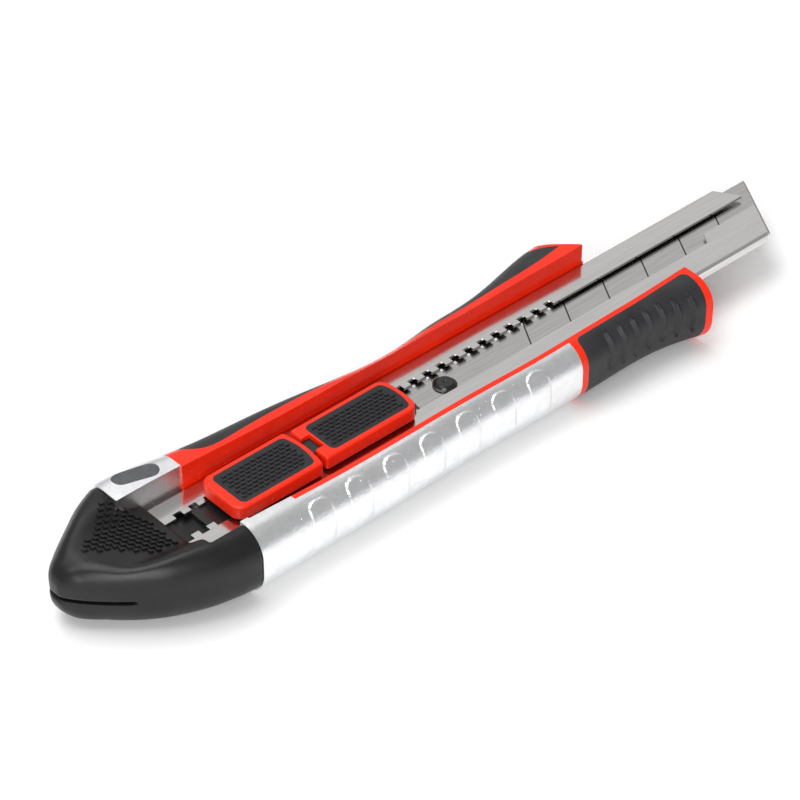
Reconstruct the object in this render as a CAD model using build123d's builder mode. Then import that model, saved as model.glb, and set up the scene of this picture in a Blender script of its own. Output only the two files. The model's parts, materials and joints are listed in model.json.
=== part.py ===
from build123d import *
import os
from math import radians, tan

os.makedirs("parts", exist_ok=True)

# Frame: +X runs to the blade's tip, +Y to the cutting edge, +Z up from the table under the belly.
# Driving dimensions, in millimetres.

# blade
blade_width = 18.0
blade_thickness = 0.5
blade_top = 10.5
blade_rear = -9.0
score_pitch = 12.0
score_count = 6
score_first = 24.6
score_angle = 60.0
score_groove = 0.24
score_depth = 0.12
bevel_width = 1.6
pin_hole = 4.0
pin_base_radius = 2.7
pin_top_radius = 2.05
pin_top = 11.6

# channel that the blade runs in, folded from sheet
channel_y = -0.65
channel_width = 20.2
channel_rear = -82.0
sheet = 0.6
channel_base = 8.8
lip_top = 11.8
lip_far = 3.8
lip_near = -3.4
lip_near_wide = -0.5
lip_step = 77.9
tooth_pitch = score_pitch / 3
tooth_count = 28
tooth_first = -72.2
tooth_depth = 1.4
near_tooth_count = 2
nose_setback = 1.2
bend_radius = 0.9

# handle
wall_clearance = 0.2
wall_near = -11.9
wall_far = 11.0
near_strip = 1.2
strip_rear = -52.0
floor_top = 2.5
tail_x = -63.0
ring_x = 25.0
ring_width = 1.8
near_front = 61.6
far_front = 50.8
grip_front = 60.0
top_radius = 0.34
bottom_radius = 0.45
belly_sink = 0.3
grip_corner = 1.5
channel_seat = channel_width / 2 + wall_clearance

# X, near half width, far half width, height of the handle's outer form
handle_stations = [
    (-84.0, 15.6, 19.9, 17.2),
    (-76.0, 17.2, 21.5, 17.4),
    (-64.0, 17.4, 19.6, 17.2),
    (-48.0, 17.0, 18.2, 16.4),
    (-23.0, 16.6, 15.8, 16.0),
    (9.0, 16.3, 15.6, 15.8),
    (25.0, 16.5, 16.9, 15.8),
    (34.0, 16.4, 18.8, 16.0),
    (42.0, 16.3, 20.3, 16.1),
    (52.0, 17.2, 20.3, 16.4),
    (62.5, 20.2, 20.3, 16.9),
]

# X, near half width, far half width, lowest and highest Z of the end cap's outer form
cap_stations = [
    (-100.4, -4.2, 6.2, 6.4, 11.6),
    (-99.6, -2.6, 8.0, 4.2, 13.4),
    (-97.0, 0.8, 10.6, 1.8, 15.2),
    (-91.0, 6.6, 14.6, 0.3, 16.8),
    (-84.0, 11.8, 18.9, -belly_sink, 17.4),
    (-76.0, 15.4, 21.6, -belly_sink, 17.6),
    (-70.0, 16.8, 21.2, -belly_sink, 17.5),
    (-62.0, 17.7, 19.8, -belly_sink, 17.3),
]

# end cap
cap_lobe_front = -65.0
cap_mid_front = -73.4
cap_far_front = -79.6
cap_gap = 0.15
spigot_rear = -79.0
spigot_half = 10.0
scoop_slope = 0.22
slit_width = 0.7
slit_height = 8.2
slit_front = -89.2
scoop_near = 3.0
tongue_front = -61.0
tongue_step = -71.2

# lanyard slot
lanyard_x = -71.6
lanyard_y = 15.0
lanyard_length = 10.4
lanyard_width = 4.6
lanyard_turn = -17.0

# sliders
slide_top = 15.7
press_travel = 0.8
skirt_bottom = lip_top + press_travel + 0.05
pad_depth = 0.8
roof_bottom = 14.0
button_wall = 1.2
front_slider = (-38.2, -12.2, 6.0)
rear_slider = (-62.2, -38.8, 6.5)
pad_margin = 1.2
front_pad_rear = 2.7
rear_pad_rear = 2.2
end_bulge = 0.9
corner_radius = 2.6
inner_corner = 0.7
edge_radius = 0.5
nose_reach = 1.2
nose_top = 13.2
core_top = 13.1
neck_near = -3.1
neck_far = 3.4
flange_half = 8.9
flange_top = 11.1
holder_bottom = 9.5
holder_half = 7.4
holder_front = 7.0
spring_sheet = 0.3
front_notch_x = -25.2
rear_notch_x = -49.2
finger_width = 1.6
latch_half = 2.1
latch_front = -36.3
rivet_radius = 0.9
holder_rivet_x = [-33.0, -18.0]
latch_thickness = 0.85
spring_half = 2.9
spring_reach = 8.0
spring_rise = 0.4

# screws from beneath
screw_places = [(-50.0, 0.0), (-12.0, 0.0), (16.0, 0.0)]
screw_head_radius = 2.7
screw_shank_radius = 1.45
screw_top = 8.2
screw_recess = 0.3
screw_cone = 1.438
screw_cross = 3.0
screw_cross_width = 0.7
screw_cross_depth = 0.9

# lightening pockets under the frame's bed, clear of the screws
pocket_centres = [-58.0, -41.0, -31.0, -21.0, -3.0, 6.0]
pocket_length = 8.0
pocket_half = 8.0
bed_thickness = 1.4

blade_bottom = blade_top - blade_thickness
lip_bottom = lip_top - sheet
floor_of_channel = channel_base + sheet
score_slope = 1 / tan(radians(score_angle))
blade_front = score_first + score_count * score_pitch
nose_x = blade_front - nose_setback
far_beyond = 40.0


def level(z):
    """Horizontal plane at height z, its origin over the channel's centre line."""
    return Plane((0, channel_y, z))


def station(x):
    """Plane across the knife at x, its origin under the channel's centre line."""
    return Plane((x, channel_y, 0), x_dir=(0, 1, 0), z_dir=(1, 0, 0))


def lengthwise(y):
    """Upright plane along the knife, y to the far side of the channel's centre line."""
    return Plane((0, channel_y + y, 0), x_dir=(1, 0, 0), z_dir=(0, -1, 0))


def block(x0, x1, y0, y1, z0, z1, mode=Mode.ADD):
    """A box between two corners, joined to or cut from the part being built."""
    with Locations(((x0 + x1) / 2, channel_y + (y0 + y1) / 2, (z0 + z1) / 2)):
        Box(x1 - x0, y1 - y0, z1 - z0, mode=mode)


def outer_form(stations):
    """A smooth rounded form through sections given as (X, near, far, lowest, highest)."""
    with BuildPart() as form:
        for x, near, far, low, high in stations:
            height = high - low
            with BuildSketch(station(x)) as section:
                with Locations(((far - near) / 2, (low + high) / 2)):
                    Rectangle(near + far, height)
                corners = section.vertices().group_by(Axis.Y)
                fillet(corners[-1], min(top_radius * height, 0.4 * (near + far)))
                corners = section.vertices().group_by(Axis.Y)
                fillet(corners[0], min(bottom_radius * height, 0.4 * (near + far)))
        loft()
        # the underside is cut level, so that the knife lies on a true plane
        block(-120, 120, -far_beyond, far_beyond, -10, 0, Mode.SUBTRACT)
    return form.part


handle_form = outer_form([(x, near, far, -belly_sink, top) for x, near, far, top in handle_stations])
cap_form = outer_form(cap_stations)


def far_grip_outline():
    """Plan of the soft grip on the far side, which spreads onto the top at both ends."""
    with BuildLine() as outline:
        inner = Spline(
            (-59.5, 16.2),
            (-57.0, 13.2),
            (-48.0, 12.3),
            (-8.0, 12.5),
            (24.0, 12.6),
            (38.0, 12.9),
            (47.2, 13.9),
        )
        Polyline(inner @ 1, (42.0, 17.4), (37.5, 30.0), (-59.5, 30.0), inner @ 0)
    make_face(outline.edges())


def near_grip_outline():
    """Plan of the soft grip on the near side, its corners rounded."""
    with Locations(((ring_x + ring_width + grip_front) / 2, wall_near - far_beyond / 2)):
        RectangleRounded(grip_front - ring_x - ring_width, far_beyond, grip_corner)


# --- handle ---------------------------------------------------------------------------------

# zinc casting: near side wall, floor and the far tail with the lanyard slot
with BuildPart() as body_casting:
    add(handle_form)
    block(-100, cap_far_front, -far_beyond, far_beyond, -1, 30, Mode.SUBTRACT)
    block(ring_x, 80, -far_beyond, far_beyond, -1, 30, Mode.SUBTRACT)
    block(-100, cap_lobe_front, -far_beyond, -spigot_half, -1, 30, Mode.SUBTRACT)
    block(tail_x, 30, wall_near + near_strip, far_beyond, floor_top, 30, Mode.SUBTRACT)
    block(strip_rear, 30, wall_near, far_beyond, floor_top, 30, Mode.SUBTRACT)
    block(tail_x, 30, wall_far - 0.5, far_beyond, -1, 30, Mode.SUBTRACT)
    block(-100, tail_x + 1, -channel_seat, wall_far, channel_base, 30, Mode.SUBTRACT)
    block(-100, cap_mid_front, -spigot_half - 1, wall_far, -1, 30, Mode.SUBTRACT)
    block(spigot_rear, cap_mid_front, -spigot_half, spigot_half,
          floor_top, channel_base)
    with BuildSketch(level(0)):
        with Locations((lanyard_x, lanyard_y)):
            SlotOverall(lanyard_length, lanyard_width, rotation=lanyard_turn)
    extrude(amount=30, mode=Mode.SUBTRACT)
    with Locations(*[Pos(x, channel_y + y, screw_recess) * Rot(180, 0, 0) for x, y in screw_places]):
        CounterSinkHole(screw_shank_radius + 0.1, screw_head_radius + 0.1, depth=far_beyond)
body_casting.part.label = "body_casting"
export_step(body_casting.part, "parts/body_casting.step")

# zinc, seen from below: the three screws that hold the frame
with BuildPart() as frame_screws:
    with Locations(*[Pos(x, channel_y + y, screw_recess) * Rot(180, 0, 0) for x, y in screw_places]):
        with Locations((0, 0, -(screw_top - screw_recess) / 2)):
            Cylinder(screw_shank_radius, screw_top - screw_recess)
        with Locations((0, 0, -screw_cone / 2)):
            Cone(screw_shank_radius, screw_head_radius, screw_cone)
        with Locations((0, 0, 0)):
            Box(screw_cross, screw_cross_width, screw_cross_depth * 2, mode=Mode.SUBTRACT)
            Box(screw_cross_width, screw_cross, screw_cross_depth * 2, mode=Mode.SUBTRACT)
frame_screws.part.label = "frame_screws"
export_step(frame_screws.part, "parts/frame_screws.step")

# soft grip on the far side
with BuildPart() as far_grip:
    add(handle_form)
    with BuildSketch(level(-1)):
        far_grip_outline()
    extrude(amount=30, mode=Mode.INTERSECT)
far_grip.part.label = "far_grip"
export_step(far_grip.part, "parts/far_grip.step")

# soft grip at the near front, under the index finger
with BuildPart() as near_grip:
    add(handle_form)
    with BuildSketch(level(-1)):
        near_grip_outline()
    extrude(amount=30, mode=Mode.INTERSECT)
near_grip.part.label = "near_grip"
export_step(near_grip.part, "parts/near_grip.step")

# moulded frame: near strip, far rail and the bed of the channel
with BuildPart() as inner_frame:
    add(handle_form)
    block(-100, tail_x, -far_beyond, far_beyond, -1, 30, Mode.SUBTRACT)
    block(-100, ring_x, -far_beyond, wall_near, -1, 30, Mode.SUBTRACT)
    block(-100, ring_x, -far_beyond, wall_far - 0.5, -1, floor_top, Mode.SUBTRACT)
    block(-100, strip_rear, -far_beyond, wall_near + near_strip, -1, 30, Mode.SUBTRACT)
    with BuildSketch(level(-1)):
        near_grip_outline()
        far_grip_outline()
    extrude(amount=30, mode=Mode.SUBTRACT)
    # front face: swept back from the near side to the far side
    with BuildSketch(level(-1)):
        with BuildLine():
            Polyline(
                (near_front, -30),
                (near_front, wall_near + 1),
                (far_front, wall_far + 0.2),
                (far_front - 6.0, 17.0),
                (far_front - 9.0, 30),
                (90, 30),
                (90, -30),
                close=True,
            )
        make_face()
    extrude(amount=30, mode=Mode.SUBTRACT)
    # slot that the channel drops into
    block(-100, 90, -channel_seat, channel_seat, channel_base, 30, Mode.SUBTRACT)
    block(-100, 90, wall_near + near_strip, wall_far - 0.4, lip_top, 30,
          Mode.SUBTRACT)
    for x in pocket_centres:
        block(x - pocket_length / 2, x + pocket_length / 2, -pocket_half, pocket_half,
              -1, channel_base - bed_thickness, Mode.SUBTRACT)
    with Locations(*[(x, channel_y + y, channel_base) for x, y in screw_places]):
        Cylinder(screw_shank_radius, 2 * (channel_base - floor_top), mode=Mode.SUBTRACT)
inner_frame.part.label = "inner_frame"
export_step(inner_frame.part, "parts/inner_frame.step")

# folded steel channel with the catch teeth in its far lip
with BuildPart() as blade_channel:
    with BuildSketch(station(channel_rear)):
        with Locations((0, (channel_base + lip_top) / 2)):
            Rectangle(channel_width, lip_top - channel_base)
            Rectangle(channel_width - 2 * sheet, lip_top - channel_base - 2 * sheet, mode=Mode.SUBTRACT)
    extrude(amount=200)
    fillet(blade_channel.edges().filter_by(Axis.X).group_by(Axis.Y)[0], bend_radius)
    fillet(blade_channel.edges().filter_by(Axis.X).group_by(Axis.Y)[-1], bend_radius)
    # opening between the lips, narrower at the nose
    block(-100, 110, lip_near_wide, lip_far, lip_bottom - 0.1, 20, Mode.SUBTRACT)
    with BuildSketch(level(lip_bottom - 0.1)):
        with BuildLine():
            Polyline(
                (-100, lip_near),
                (lip_step - 1.0, lip_near),
                (lip_step + 0.8, lip_near_wide + 0.01),
                (-100, lip_near_wide + 0.01),
                close=True,
            )
        make_face()
    extrude(amount=2, mode=Mode.SUBTRACT)
    # notches of the far lip
    for index in range(tooth_count - 1):
        notch = tooth_first + index * tooth_pitch + tooth_pitch / 2
        block(notch, notch + tooth_pitch / 2, lip_far - 0.1, lip_far + tooth_depth,
              lip_bottom - 0.1, 20, Mode.SUBTRACT)
    # teeth of the near lip, only at the rear
    for index in range(near_tooth_count):
        tooth = tooth_first + index * tooth_pitch + tooth_pitch / 4
        block(tooth, tooth + tooth_pitch / 2, lip_near - 0.1, lip_near + tooth_depth,
              lip_bottom, lip_top)
    # nose cut along the score angle, its far corner taken off
    with BuildSketch(level(channel_base - 1)):
        with BuildLine():
            Polyline(
                (nose_x - 12 * score_slope, -12),
                (nose_x + 1.8 * score_slope, 1.8),
                (nose_x, 4.2),
                (nose_x - 7.4, 16),
                (120, 16),
                (120, -12),
                close=True,
            )
        make_face()
    extrude(amount=10, mode=Mode.SUBTRACT)
blade_channel.part.label = "blade_channel"
export_step(blade_channel.part, "parts/blade_channel.step")

# --- end cap --------------------------------------------------------------------------------

with BuildPart() as end_cap:
    add(cap_form)
    # stepped front: long lobe on the near side, short on the far side
    block(cap_lobe_front, 0, -far_beyond, far_beyond, -1, 30, Mode.SUBTRACT)
    block(cap_mid_front, 0, -spigot_half - 1, far_beyond, -1, 30, Mode.SUBTRACT)
    block(cap_far_front, 0, wall_far - cap_gap, far_beyond, -1, 30, Mode.SUBTRACT)
    # hollow for the spigot and the end of the channel
    block(spigot_rear - cap_gap, 0, -spigot_half - cap_gap, spigot_half + cap_gap,
          floor_top - cap_gap, channel_base + cap_gap, Mode.SUBTRACT)
    block(channel_rear - cap_gap, 0, -channel_seat, channel_seat,
          channel_base - cap_gap, lip_top + cap_gap, Mode.SUBTRACT)
    # scoop for the thumb, sloping down to the channel
    with BuildSketch(lengthwise(wall_far - cap_gap)):
        with BuildLine():
            Polyline(
                (cap_mid_front + 1, lip_top + 0.9),
                (cap_mid_front - 24, lip_top + 0.9 + 25 * scoop_slope),
                (cap_mid_front + 1, lip_top + 12),
                close=True,
            )
        make_face()
    extrude(amount=wall_far + scoop_near, mode=Mode.SUBTRACT)
    # tongue that closes the rear of the channel
    block(channel_rear - 1, tongue_step, -flange_half, flange_half,
          floor_of_channel + 0.1, flange_top)
    block(tongue_step - 1, tongue_front, -flange_half, flange_half,
          floor_of_channel + 0.1, floor_of_channel + 0.65)
    # slit that grips a blade end while it is snapped
    block(-110, slit_front, -12.0, 18.0, slit_height - slit_width / 2,
          slit_height + slit_width / 2, Mode.SUBTRACT)
end_cap.part.label = "end_cap"
export_step(end_cap.part, "parts/end_cap.step")

# --- blade carriage -------------------------------------------------------------------------

with BuildPart() as blade:
    with BuildSketch(station(blade_rear)):
        with BuildLine():
            Polyline(
                (-blade_width / 2, blade_bottom),
                (blade_width / 2 - bevel_width, blade_bottom),
                (blade_width / 2, blade_bottom + blade_thickness * 0.4),
                (blade_width / 2, blade_bottom + blade_thickness * 0.6),
                (blade_width / 2 - bevel_width, blade_top),
                (-blade_width / 2, blade_top),
                close=True,
            )
        make_face()
    extrude(amount=125)
    with BuildSketch(level(blade_bottom - 1)):
        with BuildLine():
            Polyline(
                (blade_front - 12 * score_slope, -12),
                (blade_front + 12 * score_slope, 12),
                (130, 12),
                (130, -12),
                close=True,
            )
        make_face()
    extrude(amount=3, mode=Mode.SUBTRACT)
    with Locations(*[
        Pos(score_first + index * score_pitch, channel_y, blade_top) * Rot(0, 0, score_angle - 90)
        for index in range(score_count)
    ]):
        Box(score_groove, 30, 2 * score_depth, mode=Mode.SUBTRACT)
    with Locations((0, channel_y, blade_top)):
        Hole(pin_hole / 2)
blade.part.label = "blade"
export_step(blade.part, "parts/blade.step")

# thin steel strip under the blade, riveted to the front slide
with BuildPart() as blade_holder:
    with BuildSketch(level(holder_bottom)):
        with Locations(((front_slider[0] + holder_front) / 2, 0)):
            RectangleRounded(holder_front - front_slider[0], 2 * holder_half, 3.0)
        Circle(pin_hole / 2, mode=Mode.SUBTRACT)
        with Locations(*[(x, 0) for x in holder_rivet_x]):
            Circle(rivet_radius, mode=Mode.SUBTRACT)
    extrude(amount=blade_bottom - holder_bottom)
blade_holder.part.label = "blade_holder"
export_step(blade_holder.part, "parts/blade_holder.step")

# black pin with a dimpled head, through the blade's hole
with BuildPart() as blade_pin:
    with BuildSketch(lengthwise(0)):
        with BuildLine():
            Polyline(
                (0, holder_bottom),
                (pin_hole / 2 - 0.03, holder_bottom),
                (pin_hole / 2 - 0.03, blade_top),
                (pin_base_radius, blade_top),
                (pin_base_radius, blade_top + 0.25),
                (pin_base_radius - 0.3, blade_top + 0.4),
                (pin_top_radius, pin_top - 0.25),
                (pin_top_radius - 0.3, pin_top),
                (0.5, pin_top),
                (0, pin_top - 0.35),
                close=True,
            )
        make_face()
    revolve(axis=Axis((0, channel_y, 0), (0, 0, 1)))
blade_pin.part.label = "blade_pin"
export_step(blade_pin.part, "parts/blade_pin.step")


def slide_core(slider, flange_rear, flange_floor, notch_x):
    """Flange under the lips, neck between them and the core inside the button."""
    x0, x1, half = slider
    block(flange_rear, x1 - 1.0, -flange_half, flange_half, flange_floor, flange_top)
    block(x0 + 1.6, x1 - 2.4, neck_near, neck_far, flange_top - 0.1, lip_top + 0.1)
    block(x0 + 1.8, x1 - 2.6, -half + 1.6, half - 1.6, lip_top + 0.05, core_top)
    # seat and side gap of the catch spring
    block(notch_x - 1.4, notch_x + 1.4, 3.0, half, lip_top - 1, core_top + 1,
          Mode.SUBTRACT)


def catch_spring(notch_x):
    """Bowed leaf whose finger drops into a notch of the far lip."""
    ends = [(notch_x - spring_reach, core_top), (notch_x + spring_reach, core_top)]
    with BuildSketch(lengthwise(spring_half)) as profile:
        with BuildLine():
            lower = ThreePointArc(ends[0], (notch_x, core_top + spring_rise), ends[1])
            upper = ThreePointArc(
                (ends[0][0], core_top + spring_sheet),
                (notch_x, core_top + spring_rise + spring_sheet),
                (ends[1][0], core_top + spring_sheet),
            )
            Line(lower @ 0, upper @ 0)
            Line(lower @ 1, upper @ 1)
        make_face()
    extrude(profile.sketch, amount=2 * spring_half)
    block(notch_x - finger_width / 2, notch_x + finger_width / 2, spring_half - 0.1,
          lip_far + 0.9, core_top + 0.4, core_top + 0.7)
    block(notch_x - finger_width / 2, notch_x + finger_width / 2, lip_far + 0.4,
          lip_far + 0.9, lip_bottom + 0.1, core_top + 0.7)


with BuildPart() as front_slide:
    slide_core(front_slider, front_slider[0] + 0.4, blade_bottom + 0.05, front_notch_x)
    # nose that shows in front of the button
    block(front_slider[1] - nose_reach, front_slider[1] + nose_reach, neck_near, neck_far,
          blade_bottom + 0.05, lip_top)
    block(front_slider[1] + 0.2, front_slider[1] + nose_reach, neck_near, neck_far,
          lip_top, nose_top)
    with Locations(*[(x, channel_y, core_top) for x in holder_rivet_x]):
        Hole(rivet_radius)
front_slide.part.label = "front_slide"
export_step(front_slide.part, "parts/front_slide.step")

with BuildPart() as holder_rivets:
    for x in holder_rivet_x:
        with Locations((x, channel_y, (holder_bottom + core_top) / 2)):
            Cylinder(rivet_radius, core_top - holder_bottom)
holder_rivets.part.label = "holder_rivets"
export_step(holder_rivets.part, "parts/holder_rivets.step")

with BuildPart() as front_catch_spring:
    catch_spring(front_notch_x)
front_catch_spring.part.label = "front_catch_spring"
export_step(front_catch_spring.part, "parts/front_catch_spring.step")

# --- rear lock carriage ---------------------------------------------------------------------

with BuildPart() as rear_slide:
    slide_core(rear_slider, rear_slider[0] - 4.2, floor_of_channel + 0.75, rear_notch_x)
rear_slide.part.label = "rear_slide"
export_step(rear_slide.part, "parts/rear_slide.step")

with BuildPart() as rear_catch_spring:
    catch_spring(rear_notch_x)
rear_catch_spring.part.label = "rear_catch_spring"
export_step(rear_catch_spring.part, "parts/rear_catch_spring.step")


# --- buttons --------------------------------------------------------------------------------

def slider_plan(slider, inset, rear_inset):
    """Plan of a slider: straight sides and rear edge, front edge bowed forward."""
    x0, x1, half = slider
    with BuildLine() as outline:
        Polyline(
            (x1 - inset - end_bulge, -half + inset),
            (x0 + rear_inset, -half + inset),
            (x0 + rear_inset, half - inset),
            (x1 - inset - end_bulge, half - inset),
        )
        ThreePointArc(
            (x1 - inset - end_bulge, -half + inset),
            (x1 - inset, 0),
            (x1 - inset - end_bulge, half - inset),
        )
    make_face(outline.edges())


def button_shell(slider, pad_rear, rear_corner, front_corner):
    """Cap with a pocket on top for its pad and a hollow beneath for the core of its slide."""
    with BuildSketch(level(skirt_bottom)) as plan:
        slider_plan(slider, 0, 0)
        fillet(plan.vertices().group_by(Axis.X)[-1], front_corner)
        fillet(plan.vertices().group_by(Axis.X)[0], rear_corner)
    shell = extrude(plan.sketch, amount=slide_top - skirt_bottom)
    fillet(shell.edges().group_by(Axis.Z)[-1], edge_radius)
    button_pad(slider, pad_rear, Mode.SUBTRACT)
    with BuildSketch(level(skirt_bottom)) as hollow:
        slider_plan(slider, button_wall, button_wall)
    extrude(hollow.sketch, amount=roof_bottom - skirt_bottom, mode=Mode.SUBTRACT)


def button_pad(slider, pad_rear, mode=Mode.ADD):
    """Soft pad that fills the pocket of a button."""
    with BuildSketch(level(slide_top - pad_depth)) as plan:
        slider_plan(slider, pad_margin, pad_rear)
        fillet(plan.vertices(), corner_radius - pad_margin)
    extrude(plan.sketch, amount=pad_depth, mode=mode)


with BuildPart() as front_button:
    button_shell(front_slider, front_pad_rear, inner_corner, corner_radius)
    # notch for the link latch
    block(front_slider[0] - 1, latch_front + 0.3, -latch_half - 0.2, latch_half + 0.2,
          roof_bottom - press_travel - 0.2, 20, Mode.SUBTRACT)
front_button.part.label = "front_button"
export_step(front_button.part, "parts/front_button.step")

with BuildPart() as front_button_pad:
    button_pad(front_slider, front_pad_rear)
front_button_pad.part.label = "front_button_pad"
export_step(front_button_pad.part, "parts/front_button_pad.step")

with BuildPart() as rear_button:
    button_shell(rear_slider, rear_pad_rear, corner_radius, inner_corner)
    block(rear_slider[1] - 3.2, rear_slider[1] + 1, -latch_half, latch_half,
          roof_bottom, roof_bottom + latch_thickness, Mode.SUBTRACT)
rear_button.part.label = "rear_button"
export_step(rear_button.part, "parts/rear_button.step")

with BuildPart() as rear_button_pad:
    button_pad(rear_slider, rear_pad_rear)
rear_button_pad.part.label = "rear_button_pad"
export_step(rear_button_pad.part, "parts/rear_button_pad.step")

# black latch that links the rear button to the front one
with BuildPart() as link_latch:
    block(rear_slider[1] - 3.2, latch_front, -latch_half, latch_half,
          roof_bottom, roof_bottom + latch_thickness)
link_latch.part.label = "link_latch"
export_step(link_latch.part, "parts/link_latch.step")
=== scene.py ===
"""Looks of the snap off knife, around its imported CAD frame.

Lengths are in millimetres until a mesh is made.
"""

import json
import math

import bmesh
import bpy
from mathutils import Matrix, Vector
from mathutils.bvhtree import BVHTree


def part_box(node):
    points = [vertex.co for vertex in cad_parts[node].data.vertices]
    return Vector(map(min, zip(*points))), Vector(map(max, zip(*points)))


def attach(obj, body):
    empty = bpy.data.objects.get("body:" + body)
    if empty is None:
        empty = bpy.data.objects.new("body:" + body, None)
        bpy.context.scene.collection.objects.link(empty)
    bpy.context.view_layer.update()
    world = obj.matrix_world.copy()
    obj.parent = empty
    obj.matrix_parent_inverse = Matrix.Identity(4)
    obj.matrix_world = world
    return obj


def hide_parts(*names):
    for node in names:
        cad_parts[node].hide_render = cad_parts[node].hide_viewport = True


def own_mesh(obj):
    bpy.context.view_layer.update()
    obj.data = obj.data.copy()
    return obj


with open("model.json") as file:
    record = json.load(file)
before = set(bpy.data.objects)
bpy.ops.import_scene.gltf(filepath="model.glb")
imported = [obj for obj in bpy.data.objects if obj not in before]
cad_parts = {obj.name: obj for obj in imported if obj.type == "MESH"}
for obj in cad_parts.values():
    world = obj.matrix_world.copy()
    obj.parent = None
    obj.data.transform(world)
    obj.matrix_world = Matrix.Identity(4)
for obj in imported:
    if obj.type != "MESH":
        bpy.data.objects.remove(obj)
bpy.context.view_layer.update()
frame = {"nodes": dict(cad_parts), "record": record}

MM = 0.001
record = frame["record"]
slot_of = {part["node"]: part["material_slot"] for part in record["subparts"]}
body_of = {node: body for body, nodes in record["behaviour"]["bodies"].items() for node in nodes}


def box_mm(node):
    """Lowest and highest corner of a CAD node, in millimetres."""
    low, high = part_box(node)
    return low / MM, high / MM


channel_low, channel_high = box_mm("blade_channel")
CHANNEL_Y = (channel_low.y + channel_high.y) / 2
blade_low, blade_high = box_mm("blade")
SCORE_ANGLE = 60.0
SCORE_PITCH = 12.0
SCORE_COUNT = 6
SCORE_WIDTH = 0.28


# --- materials ------------------------------------------------------------------------------

class Surface:
    """A Principled material whose variation comes from noise in the object's own coordinates."""

    def __init__(self, name, colour, roughness, metallic=0.0, specular=0.5, coat=0.0, coat_roughness=0.1):
        self.material = bpy.data.materials.new(name)
        self.material.use_nodes = True
        self.tree = self.material.node_tree
        self.shader = self.tree.nodes["Principled BSDF"]
        self.shader.inputs["Base Color"].default_value = (*colour, 1)
        self.shader.inputs["Roughness"].default_value = roughness
        self.shader.inputs["Metallic"].default_value = metallic
        self.shader.inputs["Specular IOR Level"].default_value = specular
        self.shader.inputs["Coat Weight"].default_value = coat
        self.shader.inputs["Coat Roughness"].default_value = coat_roughness
        self.coordinates = self.tree.nodes.new("ShaderNodeTexCoord")
        self.last_bump = None

    def place(self, size, stretch):
        """Coordinates scaled so that one unit is size millimetres, longer along the stretched axes."""
        mapping = self.tree.nodes.new("ShaderNodeMapping")
        mapping.inputs["Scale"].default_value = [1 / (MM * size * s) for s in stretch]
        self.tree.links.new(self.coordinates.outputs["Object"], mapping.inputs["Vector"])
        return mapping.outputs["Vector"]

    def noise(self, size, stretch=(1, 1, 1), detail=3.0):
        """Noise whose features are about size millimetres across."""
        node = self.tree.nodes.new("ShaderNodeTexNoise")
        node.inputs["Scale"].default_value = 1.0
        node.inputs["Detail"].default_value = detail
        self.tree.links.new(self.place(size, stretch), node.inputs["Vector"])
        return node.outputs["Fac"]

    def spots(self, size, radius):
        """1 inside small round spots scattered at about size millimetres apart, else 0."""
        node = self.tree.nodes.new("ShaderNodeTexVoronoi")
        node.inputs["Scale"].default_value = 1.0
        self.tree.links.new(self.place(size, (1, 1, 1)), node.inputs["Vector"])
        return self.spread(node.outputs["Distance"], radius, radius * 0.6, 0.0, 1.0)

    def spread(self, value, from_low, from_high, to_low, to_high):
        """The value's range mapped onto another."""
        node = self.tree.nodes.new("ShaderNodeMapRange")
        node.inputs["From Min"].default_value = from_low
        node.inputs["From Max"].default_value = from_high
        node.inputs["To Min"].default_value = to_low
        node.inputs["To Max"].default_value = to_high
        self.tree.links.new(value, node.inputs["Value"])
        return node.outputs["Result"]

    def tint(self, value, dark, light, low=0.35, high=0.65):
        """Base colour between two shades."""
        node = self.tree.nodes.new("ShaderNodeValToRGB")
        node.color_ramp.elements[0].position = low
        node.color_ramp.elements[0].color = (*dark, 1)
        node.color_ramp.elements[1].position = high
        node.color_ramp.elements[1].color = (*light, 1)
        self.tree.links.new(value, node.inputs["Fac"])
        self.tree.links.new(node.outputs["Color"], self.shader.inputs["Base Color"])

    def rough(self, value, low, high):
        """Roughness that varies between two values."""
        self.tree.links.new(self.spread(value, 0.3, 0.7, low, high), self.shader.inputs["Roughness"])

    def math(self, operation, value, *others):
        """One arithmetic step; the others are sockets or numbers."""
        node = self.tree.nodes.new("ShaderNodeMath")
        node.operation = operation
        self.tree.links.new(value, node.inputs[0])
        for index, other in enumerate(others, 1):
            if isinstance(other, (int, float)):
                node.inputs[index].default_value = other
            else:
                self.tree.links.new(other, node.inputs[index])
        return node.outputs["Value"]

    def bump(self, value, depth, strength=1.0):
        """Relief of the given depth in millimetres, on top of what is there."""
        node = self.tree.nodes.new("ShaderNodeBump")
        node.inputs["Distance"].default_value = depth * MM
        node.inputs["Strength"].default_value = strength
        self.tree.links.new(value, node.inputs["Height"])
        if self.last_bump:
            self.tree.links.new(self.last_bump, node.inputs["Normal"])
        self.last_bump = node.outputs["Normal"]
        self.tree.links.new(self.last_bump, self.shader.inputs["Normal"])


def red_plastic():
    """Glossy moulded ABS."""
    s = Surface("red_plastic", (0.78, 0.022, 0.004), 0.24, specular=0.32)
    s.tint(s.noise(7.0), (0.75, 0.019, 0.003), (0.81, 0.025, 0.005))
    s.rough(s.noise(1.5), 0.22, 0.28)
    s.bump(s.noise(3.0, detail=1.0), 0.006)
    return s.material


def soft_grip():
    """Dark moulded elastomer with a fine grain."""
    s = Surface("soft_grip", (0.020, 0.020, 0.022), 0.5, specular=0.38)
    s.tint(s.noise(5.0), (0.017, 0.017, 0.019), (0.024, 0.024, 0.026))
    s.rough(s.noise(0.5), 0.44, 0.56)
    s.bump(s.noise(0.16, detail=2.0), 0.012)
    s.bump(s.noise(3.0, detail=1.0), 0.02)
    return s.material


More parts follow.
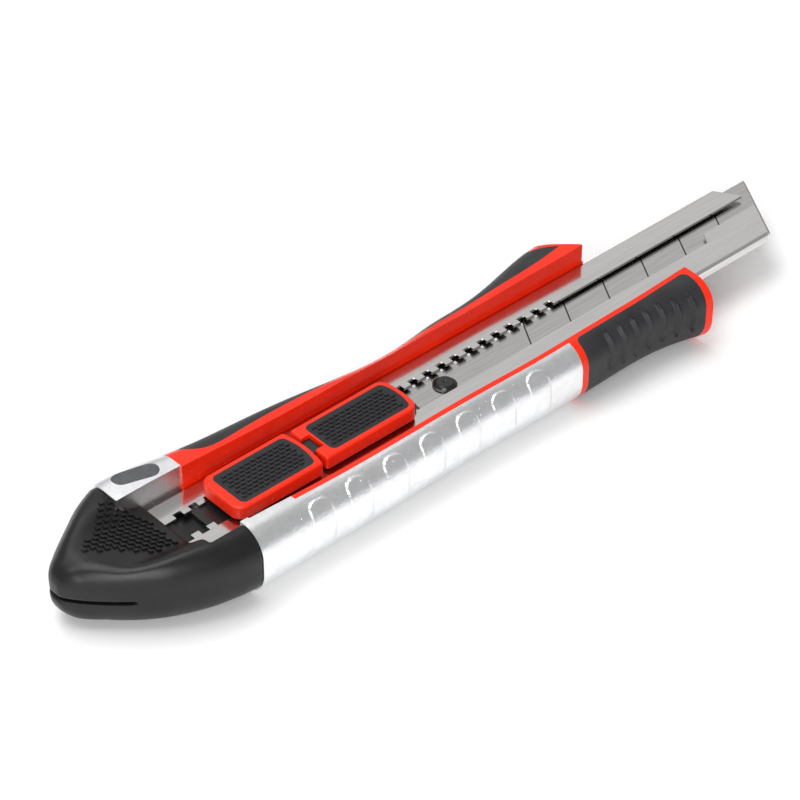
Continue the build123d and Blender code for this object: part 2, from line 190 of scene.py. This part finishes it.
def zinc():
    """Bright die casting: fine sparkle, low waves and a few pits."""
    s = Surface("zinc", (0.87, 0.875, 0.885), 0.34, metallic=1.0)
    s.tint(s.noise(2.5), (0.84, 0.845, 0.855), (0.90, 0.905, 0.915))
    s.rough(s.noise(0.35), 0.27, 0.42)
    s.bump(s.noise(1.4, detail=2.0), 0.020)
    s.bump(s.noise(0.22, detail=3.0), 0.016)
    s.bump(s.spots(2.3, 0.085), -0.10)
    return s.material


def brushed(name, dark, light, roughness, grain):
    """Ground or brushed steel with its grain along the knife."""
    s = Surface(name, light, roughness, metallic=1.0)
    s.tint(s.noise(0.5, stretch=(24, 1, 1)), dark, light)
    s.rough(s.noise(0.3, stretch=(40, 1, 1)), roughness - 0.04, roughness + 0.05)
    s.bump(s.noise(0.16, stretch=(60, 1, 1), detail=1.0), grain)
    s.bump(s.noise(6.0, detail=1.0), 0.006)
    return s


def channel_steel():
    """Brushed stainless sheet, smooth enough to mirror the frame beside it."""
    return brushed("channel_steel", (0.64, 0.63, 0.615), (0.70, 0.69, 0.675), 0.16, 0.0012)


def blade_steel():
    """Ground blade steel with the dark score lines that it snaps along."""
    s = brushed("blade_steel", (0.50, 0.49, 0.48), (0.58, 0.57, 0.555), 0.20, 0.0015)
    slope = 1 / math.tan(math.radians(SCORE_ANGLE))
    first = blade_high.x - (blade_high.y - CHANNEL_Y) * slope - SCORE_COUNT * SCORE_PITCH
    split = s.tree.nodes.new("ShaderNodeSeparateXYZ")
    s.tree.links.new(s.coordinates.outputs["Object"], split.inputs["Vector"])
    lean = s.math("MULTIPLY_ADD", split.outputs["Y"], -slope, CHANNEL_Y * slope * MM - first * MM)
    along = s.math("MULTIPLY", s.math("ADD", split.outputs["X"], lean), 1 / (SCORE_PITCH * MM))
    off = s.math("ABSOLUTE", s.math("SUBTRACT", s.math("FRACT", s.math("ADD", along, 100.5)), 0.5))
    line = s.spread(off, SCORE_WIDTH / SCORE_PITCH, SCORE_WIDTH / SCORE_PITCH * 0.4, 0.0, 1.0)
    mask = s.math("MULTIPLY", line, s.math("GREATER_THAN", along, -0.5))
    mix = s.tree.nodes.new("ShaderNodeMix")
    mix.data_type = "RGBA"
    mix.inputs[7].default_value = (0.06, 0.058, 0.055, 1)
    socket = s.shader.inputs["Base Color"]
    s.tree.links.new(socket.links[0].from_socket, mix.inputs[6])
    s.tree.links.new(mask, mix.inputs[0])
    s.tree.links.new(mix.outputs[2], socket)
    return s


def bright(name, colour, roughness):
    """Plated small metal parts."""
    s = Surface(name, colour, roughness, metallic=1.0)
    s.rough(s.noise(0.4), roughness - 0.05, roughness + 0.08)
    s.bump(s.noise(0.3), 0.004)
    return s.material


def satin_black():
    """Satin ABS of the end cap, with a fine spark-eroded grain."""
    s = Surface("black_cap", (0.007, 0.007, 0.008), 0.34, specular=0.32)
    s.tint(s.noise(6.0), (0.006, 0.006, 0.007), (0.009, 0.009, 0.010))
    s.rough(s.noise(0.4), 0.31, 0.39)
    s.bump(s.noise(0.14, detail=2.0), 0.006)
    return s.material


def gloss_black():
    """Semi-gloss acetal of the slides, pin and latch."""
    s = Surface("black_plastic", (0.010, 0.010, 0.011), 0.28, specular=0.5)
    s.rough(s.noise(0.6), 0.22, 0.34)
    s.bump(s.noise(1.2, detail=1.0), 0.008)
    return s.material


def pad_rubber():
    """Matt rubber of the slider pads."""
    s = Surface("pad_rubber", (0.010, 0.010, 0.012), 0.45, specular=0.38)
    s.tint(s.noise(2.0), (0.008, 0.008, 0.010), (0.013, 0.013, 0.015))
    s.rough(s.noise(0.3), 0.42, 0.56)
    s.bump(s.noise(0.12, detail=2.0), 0.008)
    return s.material


materials = {
    "zinc": zinc(),
    "red_plastic": red_plastic(),
    "soft_grip": soft_grip(),
    "channel_steel": channel_steel().material,
    "blade_steel": blade_steel().material,
    "screw_steel": bright("screw_steel", (0.66, 0.66, 0.66), 0.22),
    "spring_steel": bright("spring_steel", (0.55, 0.55, 0.56), 0.2),
    "black_cap": satin_black(),
    "black_plastic": gloss_black(),
    "pad_rubber": pad_rubber(),
}
for node, thing in frame["nodes"].items():
    thing.data.materials.clear()
    thing.data.materials.append(materials[slot_of[node]])


# --- mesh tools -----------------------------------------------------------------------------

def smooth_step(value):
    """0 below 0, 1 above 1 and smooth between."""
    t = min(max(value, 0.0), 1.0)
    return t * t * (3 - 2 * t)


def add_piece(name, bm, node, sharp_degrees=38.0):
    """A finished mesh in millimetres becomes a piece that stands for a CAD node and rides with it."""
    bmesh.ops.recalc_face_normals(bm, faces=bm.faces[:])
    for face in bm.faces:
        face.smooth = True
    for edge in bm.edges:
        edge.smooth = len(edge.link_faces) == 2 and edge.calc_face_angle() < math.radians(sharp_degrees)
    bmesh.ops.scale(bm, vec=(MM, MM, MM), verts=bm.verts[:])
    mesh = bpy.data.meshes.new(name)
    bm.to_mesh(mesh)
    bm.free()
    mesh.materials.append(materials[slot_of[node]])
    piece = bpy.data.objects.new(name, mesh)
    bpy.context.scene.collection.objects.link(piece)
    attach(piece, body_of[node])
    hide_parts(node)
    return piece


def node_mesh(node):
    """A copy of a CAD node's mesh, welded, in millimetres, without the CAD's own normals."""
    mesh = frame["nodes"][node].data.copy()
    if "custom_normal" in mesh.attributes:
        mesh.attributes.remove(mesh.attributes["custom_normal"])
    bm = bmesh.new()
    bm.from_mesh(mesh)
    bpy.data.meshes.remove(mesh)
    bmesh.ops.scale(bm, vec=(1 / MM, 1 / MM, 1 / MM), verts=bm.verts[:])
    bmesh.ops.remove_doubles(bm, verts=bm.verts[:], dist=0.002)
    for face in bm.faces:
        face.material_index = 0
    return bm


def slice_faces(bm, wanted, cuts):
    """Cuts the wanted faces by planes, given as (axis, start, stop, step)."""
    faces = [face for face in bm.faces if wanted(face.calc_center_median())]
    geometry = list({*faces, *(e for f in faces for e in f.edges), *(v for f in faces for v in f.verts)})
    for axis, start, stop, step in cuts:
        normal = Vector((0, 0, 0))
        normal[axis] = 1
        for index in range(int((stop - start) / step) + 1):
            cut = bmesh.ops.bisect_plane(
                bm, geom=geometry, plane_co=normal * (start + index * step), plane_no=normal, dist=0.0005
            )
            geometry = cut["geom"]


def raise_surface(bm, height):
    """Moves every vertex along its normal by height(vertex position)."""
    bm.normal_update()
    moves = [(v, v.normal.copy(), height(v.co)) for v in bm.verts]
    for vertex, normal, amount in moves:
        vertex.co += normal * amount


def add_frustum(bm, centre, along, across, up, size, height, taper, sink):
    """A small closed four-sided bump standing on a surface."""
    corners = [(-1, -1), (1, -1), (1, 1), (-1, 1)]
    rings = []
    for lift, share in ((-sink, 1.0), (0.0, 1.0), (height, taper)):
        half_long, half_wide = share * size[0] / 2, share * size[1] / 2
        rings.append([
            bm.verts.new(centre + up * lift + along * (a * half_long) + across * (b * half_wide))
            for a, b in corners
        ])
    for lower, upper in zip(rings, rings[1:]):
        for i in range(4):
            bm.faces.new((lower[i], lower[(i + 1) % 4], upper[(i + 1) % 4], upper[i]))
    bm.faces.new(rings[0][::-1])
    bm.faces.new(rings[-1])


# --- casting: seven finger ribs over the near wall ------------------------------------------

casting_low, casting_high = box_mm("body_casting")
RIB_COUNT = 7
RIB_PITCH = 10.2
RIB_RADIUS = 3.0
RIB_HEIGHT = 0.3
RIB_EDGE = 0.5
RIB_LAST_X = casting_high.x - 12.2
RIB_END_Y = CHANNEL_Y - 13.4
RIB_END_Z = 15.4
WALL_TOP_Y = CHANNEL_Y - 12.1


def finger_rib(at):
    """Height of the ribs: round-ended bands that run over the shoulder and fade out below."""
    if at.y > WALL_TOP_Y:
        return 0.0
    nearest = min(max(round((RIB_LAST_X - at.x) / RIB_PITCH), 0), RIB_COUNT - 1)
    aside = at.x - (RIB_LAST_X - nearest * RIB_PITCH)
    down = (RIB_END_Z - at.z) + (RIB_END_Y - at.y)
    inside = RIB_RADIUS - math.hypot(aside, max(0.0, RIB_RADIUS - down))
    fade = smooth_step((at.z - 2.6) / 5.0)
    return RIB_HEIGHT * smooth_step(inside / RIB_EDGE) * fade


def make_casting():
    """The zinc body with its ribs."""
    bm = node_mesh("body_casting")
    first = RIB_LAST_X - (RIB_COUNT - 1) * RIB_PITCH - RIB_RADIUS - 0.6
    last = RIB_LAST_X + RIB_RADIUS + 0.6
    slice_faces(
        bm,
        lambda c: c.y < WALL_TOP_Y and c.z > 1.0 and c.x > -64,
        [(0, first, last, 0.4), (2, 2.5, 16.0, 0.5), (1, -17.0, WALL_TOP_Y, 0.5)],
    )
    raise_surface(bm, finger_rib)
    return add_piece("casting", bm, "body_casting")


# --- near grip: seven crescents -------------------------------------------------------------

grip_low, grip_high = box_mm("near_grip")
CRESCENT_COUNT = 7
CRESCENT_PITCH = 3.85
CRESCENT_FIRST_X = grip_low.x + 6.8
CRESCENT_MIDDLE_Z = 10.7
CRESCENT_REACH = 4.6
CRESCENT_BULGE = 0.8
CRESCENT_HALF = 1.3
CRESCENT_HEIGHT = 0.8


def crescent(at):
    """Height of the crescents: bowed to the front, thick at the top, steeper on their front side."""
    share = (at.z - CRESCENT_MIDDLE_Z) / CRESCENT_REACH
    if abs(share) >= 1 or at.y > CHANNEL_Y - 13.5:
        return 0.0
    bow = CRESCENT_BULGE * (1 - share * share)
    index = min(max(round((at.x - bow - CRESCENT_FIRST_X) / CRESCENT_PITCH), 0), CRESCENT_COUNT - 1)
    aside = at.x - bow - CRESCENT_FIRST_X - index * CRESCENT_PITCH
    half = CRESCENT_HALF * math.sqrt(1 - share * share) * (0.78 + 0.22 * share)
    half *= 0.62 if aside > 0 else 1.0
    return CRESCENT_HEIGHT * smooth_step(1 - abs(aside) / max(half, 0.05))


def make_near_grip():
    """The soft grip under the index finger."""
    bm = node_mesh("near_grip")
    slice_faces(
        bm,
        lambda c: c.y < CHANNEL_Y - 12.2,
        [(0, grip_low.x + 4, grip_high.x - 0.3, 0.3), (2, 5.0, 16.0, 0.4)],
    )
    raise_surface(bm, crescent)
    return add_piece("index_grip", bm, "near_grip")


# --- slider pads: rows of small bricks inside a smooth rim -----------------------------------

BRICK_PITCH_X = 1.52
BRICK_PITCH_Y = 1.06
BRICK_SIZE = (1.22, 0.72)
BRICK_HEIGHT = 0.32
PAD_RIM = 0.8
PAD_CORNER = 1.6


def make_pad(node, name):
    """A pad with its field of bricks."""
    bm = node_mesh(node)
    low, high = box_mm(node)
    middle_y = (low.y + high.y) / 2
    rows = int((high.y - low.y - 2 * PAD_RIM) / BRICK_PITCH_Y)
    for row in range(rows):
        y = middle_y + (row - (rows - 1) / 2) * BRICK_PITCH_Y
        across = abs(y - middle_y) / ((high.y - low.y) / 2)
        first = low.x + PAD_RIM + BRICK_PITCH_X / 2 * (1 + row % 2)
        corner = PAD_CORNER * max(0.0, across - 0.6) / 0.4
        x = first
        while x < high.x - PAD_RIM - 0.9 * across ** 2 - BRICK_SIZE[0] / 2:
            if x > low.x + PAD_RIM + corner:
                add_frustum(
                    bm, Vector((x, y, high.z)), Vector((1, 0, 0)), Vector((0, 1, 0)), Vector((0, 0, 1)),
                    BRICK_SIZE, BRICK_HEIGHT, 0.62, 0.1,
                )
            x += BRICK_PITCH_X
    return add_piece(name, bm, node, sharp_degrees=28.0)


# --- end cap: a smooth rounded shoe with a hollowed thumb rest ------------------------------

cap_low, cap_high = box_mm("end_cap")
# X, near half width, far half width, lowest and highest Z
CAP_STATIONS = [
    (-100.4, -4.2, 6.2, 6.4, 11.6),
    (-99.6, -2.6, 8.0, 4.2, 13.4),
    (-97.0, 0.8, 10.6, 1.8, 15.2),
    (-91.0, 6.6, 14.6, 0.3, 16.8),
    (-84.0, 11.8, 18.9, 0.0, 17.4),
    (-76.0, 15.4, 21.6, 0.0, 17.6),
    (-70.0, 16.8, 21.2, 0.0, 17.5),
    (-65.0, 17.45, 20.2, 0.0, 17.35),
]
CAP_TOP_ROUND = 0.34
CAP_BOTTOM_ROUND = 0.45
CAP_RINGS = 110
CAP_CROWDING = 1.25
CAP_MID_FRONT = -73.4
CAP_FAR_FRONT = -79.6
CAP_GAP = 0.15
LOBE_SIDE = -11.0
TAIL_SIDE = 11.0
SPIGOT_REAR = -79.0
SPIGOT_HALF = 10.0
SPIGOT_LOW = 2.5
CHANNEL_CLEARANCE = 0.2
SLIT_FRONT = -89.2
SLIT_Z = 8.2
SLIT_HALF = 0.42
TONGUE_HALF = 8.9
TONGUE_LOW = 9.5
TONGUE_STEP = -71.2
TONGUE_FRONT = -61.0
TONGUE_TOP = 11.1
TONGUE_TIP_TOP = 10.05
REST_LOWEST = 9.0
REST_TOP = 18.2
REST_RIM_SHARE = 0.85
RIM_TURN_X = -81.5
RIM_SLOPE = 0.7
REST_FRONT_Z = 12.4
REST_SLOPE = 0.20
REST_NEAR = -3.0
REST_LOBE = -11.5
REST_FAR = 6.0
REST_RIM = 14.5
REST_BLEND = 1.6
CAP_INSET = 0.12
VOXEL = 0.34


def cap_at(x):
    """The cap's section at x, by smooth interpolation between its stations."""
    stations = CAP_STATIONS
    i = max(j for j in range(len(stations) - 1) if stations[j][0] <= x + 1e-6)
    a, b = stations[i], stations[i + 1]
    before, after = stations[max(i - 1, 0)], stations[min(i + 2, len(stations) - 1)]
    span = b[0] - a[0]
    t = (x - a[0]) / span
    values = []
    for k in range(1, 5):
        slope_a = (b[k] - before[k]) / (b[0] - before[0]) * span
        slope_b = (after[k] - a[k]) / (after[0] - a[0]) * span
        values.append(
            (2 * t**3 - 3 * t**2 + 1) * a[k] + (t**3 - 2 * t**2 + t) * slope_a
            + (3 * t**2 - 2 * t**3) * b[k] + (t**3 - t**2) * slope_b
        )
    return values


def round_section(near, far, low, high):
    """Points round a rectangle with round corners, (y from the channel's middle, z), evenly matched."""
    height, width = high - low, near + far
    top = min(CAP_TOP_ROUND * height, 0.4 * width)
    bottom = min(CAP_BOTTOM_ROUND * height, 0.4 * width)
    corners = [
        (far - bottom, low + bottom, bottom, -90),
        (far - top, high - top, top, 0),
        (-near + top, high - top, top, 90),
        (-near + bottom, low + bottom, bottom, 180),
    ]
    arc_steps, line_steps = 14, (8, 48, 8, 24)
    points = []
    for index, (y, z, radius, start) in enumerate(corners):
        for step in range(arc_steps + 1):
            angle = math.radians(start + 90 * step / arc_steps)
            points.append((y + radius * math.cos(angle), z + radius * math.sin(angle)))
        y_next, z_next, radius_next, start_next = corners[(index + 1) % 4]
        angle = math.radians(start_next)
        end = (y_next + radius_next * math.cos(angle), z_next + radius_next * math.sin(angle))
        begin = points[-1]
        for step in range(1, line_steps[index]):
            t = step / line_steps[index]
            points.append((begin[0] + (end[0] - begin[0]) * t, begin[1] + (end[1] - begin[1]) * t))
    return points


def rest_height(x, y):
    """Height of the thumb rest at a place: a slope that turns up to the near lobe and the far rim."""
    floor = REST_FRONT_Z + REST_SLOPE * max(0.0, CAP_MID_FRONT - x)
    lobe = smooth_step((REST_NEAR - y) / (REST_NEAR - REST_LOBE))
    rim_start = REST_FAR + RIM_SLOPE * max(0.0, x - RIM_TURN_X)
    rim = smooth_step((y - rim_start) / (REST_RIM - REST_FAR))
    return floor + (REST_TOP - floor) * max(lobe, REST_RIM_SHARE * rim)


def soft_minimum(a, b, blend):
    """The lower of two values, rounded where they meet."""
    near = max(blend - abs(a - b), 0.0) / blend
    return min(a, b) - near * near * blend / 4


def cap_block(x0, x1, y0, y1, z0, z1):
    """A box in the channel's coordinates, as a cutter or as a solid."""
    bm = bmesh.new()
    bmesh.ops.create_cube(bm, size=1.0)
    size = Vector((x1 - x0, y1 - y0, z1 - z0))
    middle = Vector(((x0 + x1) / 2, CHANNEL_Y + (y0 + y1) / 2, (z0 + z1) / 2))
    place = Matrix.Translation(middle) @ Matrix.Diagonal((*size, 1))
    bmesh.ops.transform(bm, matrix=place, verts=bm.verts[:])
    return bm


def scratch_object(bm):
    """A temporary object from a mesh."""
    mesh = bpy.data.meshes.new("scratch")
    bm.to_mesh(mesh)
    bm.free()
    thing = bpy.data.objects.new("scratch", mesh)
    bpy.context.scene.collection.objects.link(thing)
    return thing


def evaluated(thing):
    """The mesh of an object with its modifiers, as a bmesh; the object is removed."""
    bpy.context.view_layer.update()
    shown = thing.evaluated_get(bpy.context.evaluated_depsgraph_get())
    bm = bmesh.new()
    bm.from_mesh(shown.to_mesh())
    bpy.data.objects.remove(thing)
    return bm


def cap_form():
    """The outer form of the cap with the thumb rest pressed into it."""
    bm = bmesh.new()
    rings = []
    start, stop = CAP_STATIONS[0][0] + CAP_INSET, CAP_STATIONS[-1][0]
    for index in range(CAP_RINGS + 1):
        x = start + (stop - start) * (index / CAP_RINGS) ** CAP_CROWDING
        ring = []
        near, far, low, high = cap_at(min(x, stop - 1e-4))
        near, far, high = near - CAP_INSET, far - CAP_INSET, high - CAP_INSET
        for y, z in round_section(near, far, max(low, 0.0) + CAP_INSET, high):
            if z > REST_LOWEST:
                z = soft_minimum(z, rest_height(x, y), REST_BLEND)
            ring.append(bm.verts.new((x, CHANNEL_Y + y, z)))
        rings.append(ring)
    count = len(rings[0])
    for left, right in zip(rings, rings[1:]):
        for i in range(count):
            bm.faces.new((left[i], left[(i + 1) % count], right[(i + 1) % count], right[i]))
    bm.faces.new(rings[0][::-1])
    bm.faces.new(rings[-1])
    bmesh.ops.recalc_face_normals(bm, faces=bm.faces[:])
    return bm


def cap_cutters():
    """What is cut from the form: the steps of its front, the hollows inside and the snapping slit."""
    base, top = channel_low.z, channel_high.z
    half = (channel_high.y - channel_low.y) / 2 + CHANNEL_CLEARANCE
    spigot = SPIGOT_HALF + CAP_GAP
    return [
        cap_block(CAP_MID_FRONT, 0, LOBE_SIDE, 40, -1, 30),
        cap_block(CAP_FAR_FRONT, 0, TAIL_SIDE - CAP_GAP, 40, -1, 30),
        cap_block(SPIGOT_REAR - CAP_GAP, 0, -spigot, spigot, SPIGOT_LOW - CAP_GAP, base + CAP_GAP),
        cap_block(channel_low.x - CAP_GAP, 0, -half, half, base - CAP_GAP, top + CAP_GAP),
        cap_block(-110, SLIT_FRONT, -12.0, 18.0, SLIT_Z - SLIT_HALF, SLIT_Z + SLIT_HALF),
    ]


# plan of the textured patch: rear tip, near rear, near front, far front and far rear corners
PATCH_CORNERS = [(-92.8, 4.8), (-81.6, -3.2), (-75.2, -2.8), (-76.0, 9.3), (-81.7, 13.6)]
PATCH_MIDDLE = Vector((-83.0, 4.0))
PATCH_TURN = -12.0
PATCH_PITCH = (1.7, 1.25)
PATCH_BRICK = (1.35, 0.95)
PATCH_HEIGHT = 0.42
PATCH_TAPER = 0.62
PATCH_SINK = 0.25
PATCH_ROWS = 12
PATCH_COLUMNS = 11


def inside_patch(x, y):
    """True inside the patch."""
    corners = [Vector(corner) for corner in PATCH_CORNERS]
    sides = []
    for a, b in zip(corners, corners[1:] + corners[:1]):
        sides.append((b.x - a.x) * (y - a.y) - (b.y - a.y) * (x - a.x))
    return all(s > 0 for s in sides) or all(s < 0 for s in sides)


def make_cap():
    """The cap, its tongue and the bricks of its thumb rest."""
    thing = scratch_object(cap_form())
    cutters = [scratch_object(bm) for bm in cap_cutters()]
    for cutter in cutters:
        modifier = thing.modifiers.new("cut", "BOOLEAN")
        modifier.operation = "DIFFERENCE"
        modifier.solver = "EXACT"
        modifier.object = cutter
    remesh = thing.modifiers.new("remesh", "REMESH")
    remesh.mode = "VOXEL"
    remesh.voxel_size = VOXEL
    relax = thing.modifiers.new("relax", "SMOOTH")
    relax.factor = 0.5
    relax.iterations = 4
    bm = evaluated(thing)
    for cutter in cutters:
        bpy.data.objects.remove(cutter)
    surface = BVHTree.FromBMesh(bm)
    turn = math.radians(PATCH_TURN)
    along = Vector((math.cos(turn), math.sin(turn)))
    across = Vector((-math.sin(turn), math.cos(turn)))
    for row in range(-PATCH_ROWS, PATCH_ROWS + 1):
        for column in range(-PATCH_COLUMNS, PATCH_COLUMNS + 1):
            place = (
                PATCH_MIDDLE + along * (column + 0.5 * (row % 2)) * PATCH_PITCH[0]
                + across * row * PATCH_PITCH[1]
            )
            if not inside_patch(place.x, place.y):
                continue
            above = Vector((place.x, CHANNEL_Y + place.y, 40))
            hit, normal, _, _ = surface.ray_cast(above, Vector((0, 0, -1)))
            if hit is None:
                continue
            side = normal.cross(Vector((along.x, along.y, 0))).normalized()
            add_frustum(
                bm, hit, side.cross(normal), side, normal,
                PATCH_BRICK, PATCH_HEIGHT, PATCH_TAPER, PATCH_SINK,
            )
    steps = [
        (channel_low.x - 1.0, TONGUE_STEP, TONGUE_TOP),
        (TONGUE_STEP - 0.5, TONGUE_FRONT, TONGUE_TIP_TOP),
    ]
    for x0, x1, z1 in steps:
        tongue = cap_block(x0, x1, -TONGUE_HALF, TONGUE_HALF, TONGUE_LOW, z1)
        mesh = bpy.data.meshes.new("tongue")
        tongue.to_mesh(mesh)
        tongue.free()
        bm.from_mesh(mesh)
        bpy.data.meshes.remove(mesh)
    return add_piece("cap_shell", bm, "end_cap", sharp_degrees=34.0)


# --- catch springs: each leaf, which its button flattens, as a piece with a mesh of its own ---


def make_leaf(joint):
    """The spring that a press joint flattens onto the core of its slide, as a piece with a mesh of its
    own; nothing here bends it.
    """
    rule = joint["deforming_nodes"][0]
    node = rule["node"]
    piece = add_piece(node.replace("catch_spring", "leaf"), node_mesh(node), node)
    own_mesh(piece)


for joint in record["behaviour"]["joints"]:
    if "deforming_nodes" in joint:
        make_leaf(joint)

make_casting()
make_near_grip()
make_pad("front_button_pad", "front_pad")
make_pad("rear_button_pad", "rear_pad")
make_cap()


# --- stage, light and camera ----------------------------------------------------------------

def make_floor():
    """A plain pale floor."""
    bm = bmesh.new()
    bmesh.ops.create_grid(bm, x_segments=1, y_segments=1, size=3.0)
    mesh = bpy.data.meshes.new("floor")
    bm.to_mesh(mesh)
    bm.free()
    surface = Surface("floor", (0.93, 0.93, 0.93), 0.6, specular=0.2)
    mesh.materials.append(surface.material)
    floor = bpy.data.objects.new("floor", mesh)
    floor.location = (0, 0, -0.00002)
    bpy.context.scene.collection.objects.link(floor)


def make_light(name, place, size, power):
    """A rectangular softbox aimed at the knife."""
    light = bpy.data.lights.new(name, "AREA")
    light.shape = "RECTANGLE"
    light.size, light.size_y = size
    light.energy = power
    thing = bpy.data.objects.new(name, light)
    thing.location = place
    thing.rotation_euler = (-Vector(place)).to_track_quat("-Z", "Y").to_euler()
    bpy.context.scene.collection.objects.link(thing)


def make_world(strength):
    """Even white surroundings."""
    world = bpy.data.worlds.new("studio")
    world.use_nodes = True
    world.node_tree.nodes["Background"].inputs["Color"].default_value = (1, 1, 1, 1)
    world.node_tree.nodes["Background"].inputs["Strength"].default_value = strength
    bpy.context.scene.world = world


CAMERA_AZIMUTH = -41.96
CAMERA_ELEVATION = 39.57
CAMERA_TARGET = (-10.4, 2.05, 10.5)
CAMERA_DISTANCE = 0.68556
CAMERA_LENS = 145.7


def make_camera():
    """The viewing angle: 42 degrees round to the left and 40 degrees up, with a long lens."""
    azimuth, elevation = math.radians(CAMERA_AZIMUTH), math.radians(CAMERA_ELEVATION)
    target = Vector(CAMERA_TARGET) * MM
    back = Vector((
        math.sin(azimuth) * math.cos(elevation),
        -math.cos(azimuth) * math.cos(elevation),
        math.sin(elevation),
    ))
    data = bpy.data.cameras.new("camera")
    data.sensor_width = 36.0
    data.lens = CAMERA_LENS
    data.clip_start, data.clip_end = 0.01, 20.0
    camera = bpy.data.objects.new("camera", data)
    camera.location = target + back * CAMERA_DISTANCE
    camera.rotation_mode = "QUATERNION"
    camera.rotation_quaternion = (-back).to_track_quat("-Z", "Y")
    bpy.context.scene.collection.objects.link(camera)
    bpy.context.scene.camera = camera


make_floor()
make_world(0.42)
make_light("overhead", (-0.15, 0.20, 0.80), (0.8, 0.5), 5.0)
make_light("far", (0.52, 0.58, 0.64), (1.0, 0.8), 0.8)
make_light("left", (-0.7, -0.6, 0.45), (0.6, 0.6), 7.0)
make_camera()
bpy.context.scene.view_settings.view_transform = "Standard"
